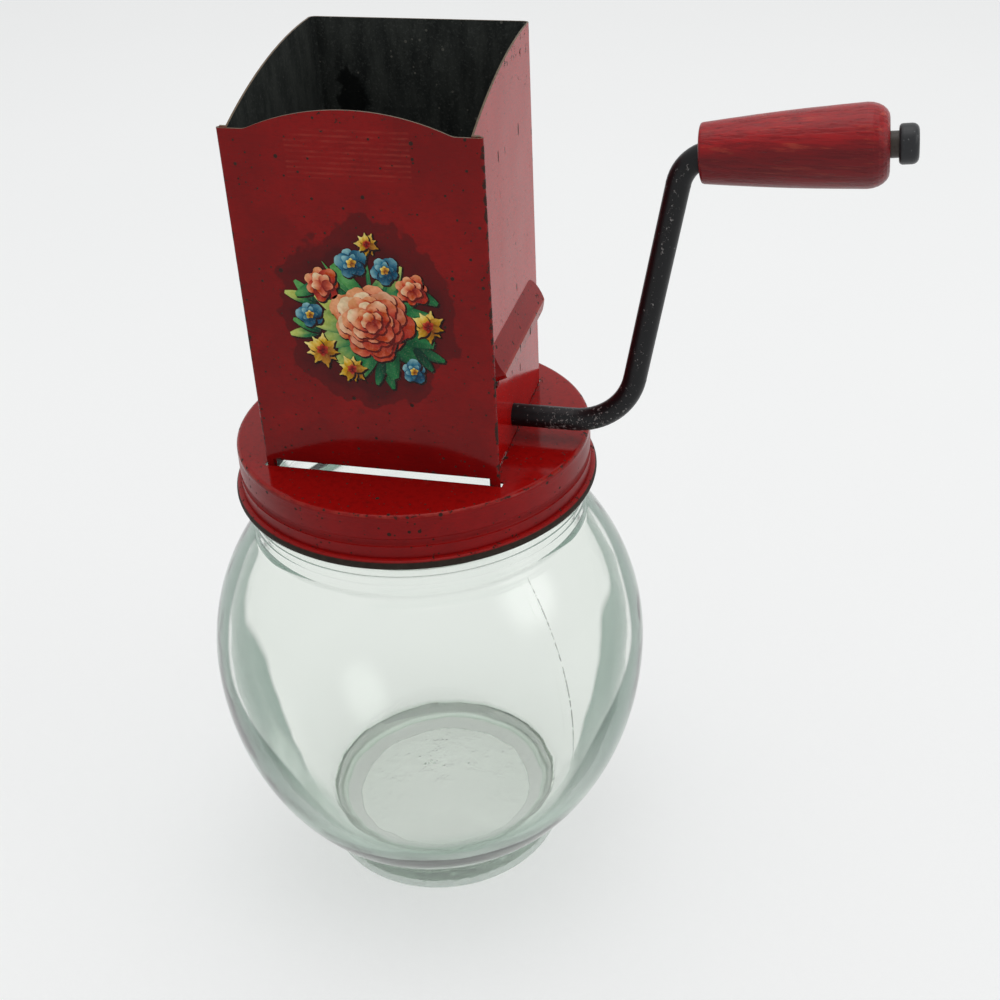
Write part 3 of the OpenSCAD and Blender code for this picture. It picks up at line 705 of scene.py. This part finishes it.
# Painted light: the right wall's outer face is blended to the paler red, more of it low down.
def right_wall_painted_light(tree, place, x, y, z, facing):
    flat = times(tree, between(tree, facing[0], 0.93, 0.97), between(tree, x, 21.7, 21.5))
    return times(tree, flat, blend_values(tree, between(tree, z, 120, 170), 0.85, 0.60))


# Painted highlight: a pale line along the rib's outermost ridge.
def ridge_painted_highlight(tree, place, x, y, z, facing):
    return times(tree, between(tree, without_sign(tree, x), 23.4, 23.7), 0.5)


def hopper_nicks(tree, place, x, y, z, facing):
    long_nicks = dots(tree, place, 0.30, 0.85, shift=6, stretch=(1, 1.6, 0.5))
    short_nicks = dots(tree, place, 0.8, 0.35, shift=2, stretch=(1, 1.5, 0.6))
    return largest(tree, long_nicks, short_nicks)


coat("hopper_body", enamel("hopper_enamel", hopper_wear, cut_top, ridge_painted_highlight, dark=faces_inwards,
                           nicks=hopper_nicks, painted_light=right_wall_painted_light, ior=1.21))
print("Hopper finished")

# %% [markdown]
# The panel has a dark, ragged stain round the printed flowers, where varnish soaked into the
# red, and a worn block of level lines above them. The stain is an oval whose edge is pushed
# about by noise, pale at its rim and darker within.

# %% Panel
def panel_wear(tree, place, x, y, z, facing):
    side = between(tree, without_sign(tree, x), 21.9, 22.75)
    foot = times(tree, between(tree, z, 107.4, 106.6), 0.7)
    top = times(tree, between(tree, z, 169.5, 173.5), 0.45)
    return plus(tree, largest(tree, side, foot, top), 0.14)


def panel_back(tree, place, x, y, z, facing):
    return times(tree, between(tree, y, -21.33, -21.2), between(tree, facing[1], 0.5, 0.7))


def posy_stain(tree, place, x, y, z, facing):
    stain_at, stain_half = (0.5, 137.2), (15.9, 17.4)
    ragged = plus(tree, from_spot(tree, x, z, stain_at, stain_half),
                  times(tree, speckle(tree, place, 0.16, 3, 0.5, shift=21), 0.9))
    rim = times(tree, between(tree, ragged, 1.50, 1.45), 0.60)
    return plus(tree, rim, times(tree, between(tree, ragged, 1.38, 1.15), 0.30))


def ruled_block(tree, place, x, y, z, facing):
    rows = between(tree, maths(tree, "SINE", times(tree, z, 6.9)), -0.1, 0.6)
    box = times(tree, near_value(tree, x, -0.3, 10.6, 11.0), near_value(tree, z, 166.7, 4.2, 4.5))
    worn = between(tree, speckle(tree, place, 0.7, 4, 0.7, stretch=(0.3, 1, 1), shift=12), 0.35, 0.70)
    return times(tree, rows, box, worn, 0.42)


coat("front_panel", enamel("panel_enamel", panel_wear, cut_top, ruled_block, dark=panel_back,
                           stain=posy_stain))
print("Panel finished")

# %% [markdown]
# ## Lid
# The lid is the same enamel. Its rolled lower edge has lost its red and is dark bare metal, and
# the edge of the square opening is rubbed by the hopper. Inside, the lid was never painted: it
# is bright tin, which the glass shows in its thick edges. Hands have dulled the skirt's gloss.
# Its top is painted paler, as painted light, and a broken pale line on the top's rounded edge is
# a painted highlight.

# %% Lid
def rolled_edge(tree, place, x, y, z, facing):
    return between(tree, z, 95.8, 95.6)


def lid_wear(tree, place, x, y, z, facing):
    opening = largest(tree, without_sign(tree, x), without_sign(tree, y))
    rubbed = times(tree, between(tree, opening, 22.4, 21.6), between(tree, z, 104.9, 105.1), 0.8)
    rim = times(tree, near_value(tree, distance(tree, x, y), 34.9, 0.1, 0.5),
                near_value(tree, z, 104.9, 0.1, 0.5), 0.7)
    low = times(tree, between(tree, z, 97, 96.0), 0.5)
    return plus(tree, largest(tree, rubbed, low, rim), 0.12)


# Painted highlight: a broken pale line on the rounded edge of the lid's top.
def rim_painted_highlight(tree, place, x, y, z, facing):
    bend = times(tree, between(tree, facing[2], 0.25, 0.45), between(tree, facing[2], 0.95, 0.75))
    worn = between(tree, speckle(tree, place, 0.35, 4, 0.7, shift=14), 0.35, 0.60)
    return times(tree, bend, between(tree, z, 104, 104.4), worn, 0.45)


# Painted light: faces that look up are blended to the paler red.
def lid_top_painted_light(tree, place, x, y, z, facing):
    return times(tree, between(tree, facing[2], 0.6, 0.85), 0.85)


def lid_inside(tree, place, x, y, z, facing):
    under = times(tree, between(tree, facing[2], -0.5, -0.7), between(tree, z, 104, 104.4))
    skirt = times(tree, between(tree, along_way(tree, x, y, facing), -4.0, -8.0),
                  between(tree, distance(tree, x, y), 35.2, 35.0), between(tree, z, 96.0, 96.4))
    return largest(tree, under, skirt)


def handled_skirt(tree, place, x, y, z, facing):
    return times(tree, between(tree, z, 104.6, 103.4), 0.22)


# The third red is the paler one of the painted light on the lid's top.
coat("lid_cap", enamel("lid_enamel", lid_wear, rolled_edge, rim_painted_highlight, painted_light=lid_top_painted_light,
                       unpainted=lid_inside, dulled=handled_skirt,
                       reds=(rgb(142, 11, 12), rgb(122, 9, 11), rgb(155, 15, 13)),
                       metal=(rgb(58, 48, 40), rgb(24, 18, 15)), ior=1.23))
print("Lid finished")

# %% [markdown]
# ## Crank, grip and nut
# The crank is one bent steel rod with a black finish, scuffed to grey flecks where hands and
# cupboards touched it, most of them at the bend and along its front. Its end is cut bare. The
# cap nut is plain dark steel, which is the same finish in other colours, worn evenly.

# %% Crank rod and nut
def black_steel(name, base, bright, scuffs, bare_end=False):
    """Black finish over steel. scuffs is how much wear gathers at the bend and the front."""
    material, tree, surface, _ = new_material(name)
    place = in_millimetres(tree)
    x, y, z = split(tree, place)
    cloud = speckle(tree, place, 0.35, 4, 0.6)
    colour = blend_colours(tree, cloud, base, tuple(1.7 * c for c in base[:3]) + (1,))
    fleck = speckle(tree, place, 1.5, 5, 0.72, shift=4)
    bend = times(tree, between(tree, x, 24, 30), between(tree, z, 118, 110))
    front = times(tree, between(tree, way_it_faces(tree)[1], -0.93, -0.99), 0.7)
    patch = times(tree, speckle(tree, place, 0.11, 2, shift=19), 0.22)
    wear = plus(tree, fleck, patch, times(tree, largest(tree, bend, front), scuffs))
    worn = between(tree, wear, 0.76, 0.80)
    colour = blend_colours(tree, times(tree, worn, 0.75), colour, bright)
    if bare_end:
        steel = blend_colours(tree, fleck, rgb(92, 84, 76), rgb(52, 46, 42))
        colour = blend_colours(tree, between(tree, x, 85.4, 85.9), colour, steel)
    gloss = blend_values(tree, worn, blend_values(tree, cloud, 0.30, 0.42), 0.55)
    wire_up(tree, surface, {"Base Color": colour, "Roughness": gloss, "IOR": 1.33})
    bumped(tree, surface, minus(tree, times(tree, cloud, 0.05), times(tree, worn, 0.02)))
    return material


rod_black = black_steel("rod_black", rgb(13, 13, 15), rgb(150, 148, 146), 0.09, bare_end=True)
coat("crank_rod", rod_black)
coat("cap_nut", black_steel("nut_steel", rgb(38, 39, 41), rgb(128, 128, 130), 0.0))
print("Crank finished")

# %% [markdown]
# The grip is turned wood under dark red paint that lets the grain show as fine streaks along
# it. Noise drawn out along the grip makes them, turned by the small tilt that the grip has.
# Its underside is painted darker, as painted shade, which leaves its top brighter.

# %% Grip
grip_tilt = math.radians(5.2)


def grain(tree, place, scale, detail, roughness, thin, shift=0.0):
    """Noise drawn out along the grip, which is tilted a little against the X axis."""
    return speckle(tree, place, scale, detail, roughness, stretch=(thin, 1, 1), shift=shift,
                   turn=grip_tilt)


wood, tree, surface, _ = new_material("painted_wood")
place = in_millimetres(tree)
streaks = between(tree, grain(tree, place, 1.5, 4, 0.65, 0.05), 0.35, 0.65)
colour = blend_colours(tree, streaks, rgb(128, 13, 20), rgb(172, 26, 30))
cloud = speckle(tree, place, 0.12, 3, shift=6)
colour = blend_colours(tree, times(tree, cloud, 0.5), colour, rgb(142, 16, 24))
brushed = between(tree, grain(tree, place, 0.9, 4, 0.7, 0.10, shift=15), 0.56, 0.68)
colour = blend_colours(tree, times(tree, brushed, 0.45), colour, rgb(206, 84, 60))
# Painted shade: the underside is darkened in its colour.
underside_painted_shade = times(tree, between(tree, way_it_faces(tree)[2], 0.65, 0.10), 0.62)
colour = blend_colours(tree, underside_painted_shade, colour, rgb(66, 6, 14))
pores = between(tree, grain(tree, place, 2.6, 3, 0.6, 0.07, shift=8), 0.64, 0.72)
colour = blend_colours(tree, times(tree, pores, 0.6), colour, rgb(60, 10, 14))
wire_up(tree, surface, {"Base Color": colour, "Roughness": blend_values(tree, streaks, 0.26, 0.34),
                        "IOR": 1.32})
bumped(tree, surface, minus(tree, times(tree, streaks, 0.03), times(tree, pores, 0.05)))
coat("grip", wood)
print("Grip finished")

# %% [markdown]
# ## The works inside
# Combs, cutters and spacers are bare tinned steel, dulled by years of nuts and washing. Small
# scratches run round the cutters, and brown oil film lies on them in patches. The front comb's
# ears, which show in holes of the hopper's walls, are painted black as painted shade in the holes.

# %% Combs, cutters and small parts
tinned_colours = (rgb(158, 152, 142), rgb(98, 86, 72))
ground_colours = (rgb(142, 140, 138), rgb(84, 78, 72))


def dull_steel(name, colours, roughness, painted_shade_ends=False):
    material, tree, surface, _ = new_material(name)
    place = in_millimetres(tree)
    film = speckle(tree, place, 0.22, 4, 0.65)
    scratch = speckle(tree, place, 1.6, 3, 0.6, stretch=(1, 0.15, 1), shift=11)
    bright_lines = times(tree, between(tree, scratch, 0.6, 0.7), 0.4)
    colour = blend_colours(tree, between(tree, film, 0.35, 0.65), *colours)
    colour = blend_colours(tree, bright_lines, colour, rgb(190, 186, 178))
    # Painted shade: the comb's ends, which show in the holes of the walls, are painted black.
    if painted_shade_ends:
        ends = between(tree, without_sign(tree, split(tree, place)[0]), 20.7, 20.95)
        colour = blend_colours(tree, ends, colour, rgb(12, 10, 9))
    gloss = blend_values(tree, film, roughness, roughness + 0.15)
    wire_up(tree, surface, {"Base Color": colour, "Metallic": 0.9, "Roughness": gloss})
    bumped(tree, surface, times(tree, scratch, 0.01))
    return material


tinned = dull_steel("tinned_steel", tinned_colours, 0.34)
ground = dull_steel("ground_steel", ground_colours, 0.28)
for part in parts:
    if part.startswith(("rear_comb", "thrust_washer", "push_nut")):
        coat(part, tinned)
    if part.startswith(("cutter_", "spacer_", "end_spacer")):
        coat(part, ground)
coat("front_comb", dull_steel("steel_with_painted_shade_ends", tinned_colours, 0.34, painted_shade_ends=True))
print("Works finished")

# %% [markdown]
# The liner is a ring of waxed board under the lid, which seals the jar. It hardly shows, so a
# cloudy tan with a rough face is enough.

# %% Liner
board, tree, surface, _ = new_material("waxed_board")
pulp = speckle(tree, in_millimetres(tree), 0.8, 4, 0.6)
colour = blend_colours(tree, pulp, rgb(176, 158, 126), rgb(148, 128, 98))
wire_up(tree, surface, {"Base Color": colour, "Roughness": blend_values(tree, pulp, 0.55, 0.75)})
bumped(tree, surface, pulp, 0.00005)
coat("lid_liner", board)
print("Parts with a finish:", sum(1 for p in parts.values() if p.data.materials))

# %% [markdown]
# ## The printed flowers
# The panel carries a posy on a transfer that was slid on wet and varnished, one big bloom with
# small flowers and leaves close round it. Petals and leaves are thin shapes laid on one another
# just clear of the enamel. A flat picture would do from afar, but shapes stay sharp in a close
# view. Each starts as a grid that is pulled to its outline, and carries its shades as a colour
# attribute, from a dark foot to a pale end, as a brush would leave them.
# Two shapes at one height would flicker, so each also gets one of seven tiny steps of its own.

# %% One petal
posy = bmesh.new()
shades = posy.verts.layers.float_color.new("print")
print_y, layer_step = -21.50, 0.008


def petal(at, turn, length, width, colours, layer, tip=0.6, notch=0.0, curl=0.0, light=0.35):
    """One petal or leaf from its foot at (x, z), turned clockwise from upright, in millimetres.
    colours are those of its foot, middle and end. tip is how wide the end stays: 0 is a point.
    light is how much paler its upper left side is."""
    made = bmesh.ops.create_grid(posy, x_segments=7, y_segments=9, size=1.0)
    layer += 0.04 * (len(posy.verts) % 7)
    a = math.radians(turn)
    foot, middle, end = colours
    for v in made["verts"]:
        u, t = v.co.x, (v.co.y + 1) / 2
        wide = math.sin(math.pi * (0.08 + 0.84 * t) ** 0.85) ** 0.8
        wide = max(wide, tip * min(1.0, t * 1.6), 0.03)
        x = u * wide * width / 2 + curl * t * t * length
        z = length * (t - (0.22 * u * u + notch * (1 - abs(u))) * t ** 3 * (tip > 0))
        across, up = x * math.cos(a) + z * math.sin(a), -x * math.sin(a) + z * math.cos(a)
        brush = 0.10 * math.sin(7 * u + 2.3 * turn) * math.sin(3 * t + turn)
        mix = t ** 1.2 + light * (up - across) / (length + width) - 0.20 * u * u + brush
        mix = max(0.0, min(1.0, mix)) * 2
        first, second, share = (foot, middle, mix) if mix < 1 else (middle, end, mix - 1)
        v[shades] = tuple(first[i] * (1 - share) + second[i] * share for i in range(3)) + (1.0,)
        v.co = ((at[0] + across) / 1000, (print_y - layer * layer_step) / 1000, (at[1] + up) / 1000)


print("Print lies at y", print_y, "mm")

# %% [markdown]
# A painted flower stands out by the dark edge at its lower right. A darker copy of the petal,
# moved that way and laid under it, makes the edge. A line round the petal could do it too, but
# it would be as dark on the lit side. A flower is rings of such petals round a centre.

# %% Petals with shadows, and rings of them
dark_shadow, red_shadow = (rgb(34, 12, 10),) * 3, (rgb(104, 18, 14),) * 3
shadow_shift = 0.22


def shadow_of(at, turn, length, width, colours, layer, **shape):
    """A petal's dark copy, a little larger, which shows at its lower right."""
    moved = (at[0] + shadow_shift, at[1] - shadow_shift)
    petal(moved, turn, length + 0.15, width + 0.25, colours, layer, **shape)


def leaf(at, turn, length, width, colours, layer, curl=0.0):
    """A pointed leaf over its own shadow."""
    shadow_of(at, turn, length, width, dark_shadow, layer - 0.5, tip=0, curl=curl, light=0.6)
    petal(at, turn, length, width, colours, layer, tip=0, curl=curl, light=0.6)


def ring_of(at, count, length, width, bright, deep, layer, start=0.0, shadow=None, **shape):
    """Petals side by side round a centre, with a little sway, so that no two are alike. They are
    bright at the flower's upper left and deep at its lower right, which makes it look round."""
    for i in range(count):
        sway = 1 + 0.09 * math.sin(2.4 * i + start)
        turn = start + 360 * i / count + 5 * math.sin(5.1 * i + start)
        share = 0.5 - 0.5 * math.cos(math.radians(turn + 45))
        colours = [tuple(a * (1 - share) + b * share for a, b in zip(*pair))
                   for pair in zip(bright, deep)]
        height = layer + i % 3 * 0.3
        if shadow:
            shadow_of(at, turn, length * sway, width * sway, shadow, height - 0.2, **shape)
        petal(at, turn, length * sway, width * sway, colours, height, **shape)


print("Petal tools ready")

# %% [markdown]
# Each paint is three colours, for the petal's foot, its middle and its end. The deep ones are
# the same paints in shade, for the lower right of a flower.

# %% Paints
coral = (rgb(132, 18, 16), rgb(216, 76, 50), rgb(248, 178, 132))
coral_deep = (rgb(98, 10, 12), rgb(168, 36, 28), rgb(220, 96, 64))
cream = (rgb(190, 58, 40), rgb(242, 160, 116), rgb(252, 226, 186))
cream_deep = (rgb(132, 24, 20), rgb(206, 84, 58), rgb(240, 164, 122))
blue = (rgb(12, 52, 84), rgb(52, 124, 152), rgb(150, 198, 202))
blue_deep = (rgb(6, 30, 52), rgb(20, 76, 106), rgb(64, 132, 152))
yellow = (rgb(176, 98, 26), rgb(234, 186, 66), rgb(252, 234, 146))
yellow_deep = (rgb(122, 56, 16), rgb(188, 126, 34), rgb(228, 180, 70))
leaf_green = (rgb(8, 52, 38), rgb(22, 104, 66), rgb(96, 164, 92))
leaf_pale = (rgb(10, 66, 44), rgb(46, 128, 74), rgb(196, 206, 112))
print("Coral, from foot to end:", [[round(part, 2) for part in paint[:3]] for paint in coral])

# %% [markdown]
# The posy is arranged as a florist would: a fan of leaves first, then the big bloom as six
# rings of petals that grow smaller towards its heart, and last the small flowers and sprigs
# round it. Directions are in degrees clockwise from upright, and places in millimetres.

# %% Big bloom
bloom = (1.2, 136.8)
for turn, reach in ((-122, 11.4), (-97, 12.0), (-70, 11.0), (129, 11.8), (103, 11.6), (77, 11.2),
                    (157, 11.4), (-171, 11.2), (-146, 11.0), (-36, 12.0), (22, 12.2), (50, 11.0)):
    leaf_paint = leaf_pale if turn % 4 else leaf_green
    leaf(bloom, turn, reach, 4.8, leaf_paint, 1 + (turn % 3) * 0.3, curl=0.10)
for turn, reach in ((-33, 13.5), (3, 15.0), (27, 13.0)):
    petal(bloom, turn, reach, 0.8, leaf_green, 2.2, curl=-0.06)
for count, length, width, bright, deep, layer, start in (
    (9, 8.3, 6.4, coral, coral_deep, 4, 10), (8, 7.1, 5.6, cream, coral_deep, 5.5, 32),
    (8, 5.9, 4.7, coral, coral_deep, 7, 5), (7, 4.8, 3.9, cream, cream_deep, 8.5, 28),
    (6, 3.5, 3.0, coral, coral_deep, 10, 12), (5, 2.3, 2.2, cream, cream_deep, 11.5, 40),
):
    ring_of(bloom, count, length, width, bright, deep, layer, start=start, notch=0.14,
            shadow=dark_shadow if layer == 4 else red_shadow)
print("Bloom done, faces so far:", len(posy.faces))

# %% [markdown]
# The small flowers are rings of the same petals: two coral ones with a leaf at each side, four
# blue ones with a yellow eye, and four yellow ones with narrow petals. Each ring starts at an
# angle that comes from the flower's place, so that no two look stamped from one block. Four
# sprigs of two leaves close the gaps between them.

# %% Small flowers and sprigs
coral_flowers = (((-7.3, 143.4), 3.6), ((9.0, 143.2), 3.2))
blue_flowers = (((-1.5, 147.6), 3.2), ((4.4, 146.6), 2.9), ((-10.2, 137.4), 2.8), ((8.2, 127.6), 2.6))
yellow_flowers = (((11.4, 136.6), 3.1), ((-8.6, 130.6), 3.3), ((-3.4, 127.2), 2.7), ((1.6, 151.2), 2.1))
sprigs = (((-8.8, 139.9), -74), ((2.6, 129.4), 165), ((-8.6, 134.4), -100), ((8.6, 132.2), 112))
for at, size in coral_flowers:
    leaf(at, -115, size + 2.0, 2.2, leaf_green, 2)
    leaf(at, 118, size + 1.8, 2.2, leaf_pale, 2.2)
    ring_of(at, 7, size, size * 0.8, coral, coral_deep, 4, start=at[0] * 9,
            shadow=dark_shadow, notch=0.1)
    ring_of(at, 5, size * 0.6, size * 0.6, cream, cream_deep, 5.5, start=at[0] * 5,
            shadow=red_shadow)
for at, size in blue_flowers:
    ring_of(at, 5, size, size * 0.95, blue, blue_deep, 3, start=at[0] * 9,
            shadow=dark_shadow, notch=0.12)
    ring_of(at, 5, size * 0.58, size * 0.5, blue, blue_deep, 4.5, start=at[0] * 9 + 36)
    ring_of(at, 5, size * 0.30, size * 0.3, yellow, yellow_deep, 6)
for at, size in yellow_flowers:
    ring_of(at, 9, size, size * 0.55, yellow, yellow_deep, 3, start=at[1],
            shadow=dark_shadow, tip=0.3)
    ring_of(at, 6, size * 0.36, size * 0.36, coral_deep, coral_deep, 5)
for at, turn in sprigs:
    leaf(at, turn, 5.8, 2.1, leaf_pale, 1)
    leaf(at, turn + 32, 5.2, 1.9, leaf_green, 1.5)
for face in posy.faces:
    face.normal_update()
    if face.normal.y > 0:
        face.normal_flip()
print("Posy faces:", len(posy.faces))

# %% [markdown]
# The ink takes its colour from the attribute. Broad noise darkens it in strokes, a fine grain
# lets a little paper colour through, and a few rubbed spots show the red under it.

# %% Print ink
ink, tree, surface, _ = new_material("transfer_print")
shade = shader_node(tree, "VertexColor", layer_name="print").outputs["Color"]
place = in_millimetres(tree)
strokes = speckle(tree, place, 0.7, 3, 0.6, shift=3)
wires = {"Value": 0.80, "Saturation": 1.10, "Color": shade}
darker = shader_node(tree, "HueSaturation", wires).outputs[0]
colour = blend_colours(tree, between(tree, strokes, 0.38, 0.66), shade, darker)
fine = speckle(tree, place, 3.2, 3, 0.6)
paper_specks = times(tree, between(tree, fine, 0.55, 0.65), 0.06)
colour = blend_colours(tree, paper_specks, colour, rgb(250, 226, 190))
rub = between(tree, speckle(tree, place, 1.3, 5, 0.75, shift=23), 0.70, 0.73)
colour = blend_colours(tree, times(tree, rub, 0.85), colour, rgb(92, 14, 16))
wire_up(tree, surface, {"Base Color": colour, "Roughness": blend_values(tree, strokes, 0.12, 0.20),
                        "IOR": 1.25})
bumped(tree, surface, fine, 0.00001)
flowers = finish_mesh(posy, "printed_posy", "lid", ink, smooth=False)
print("Print reaches from", [round(v, 4) for v in flowers.bound_box[0]],
      "to", [round(v, 4) for v in flowers.bound_box[6]])
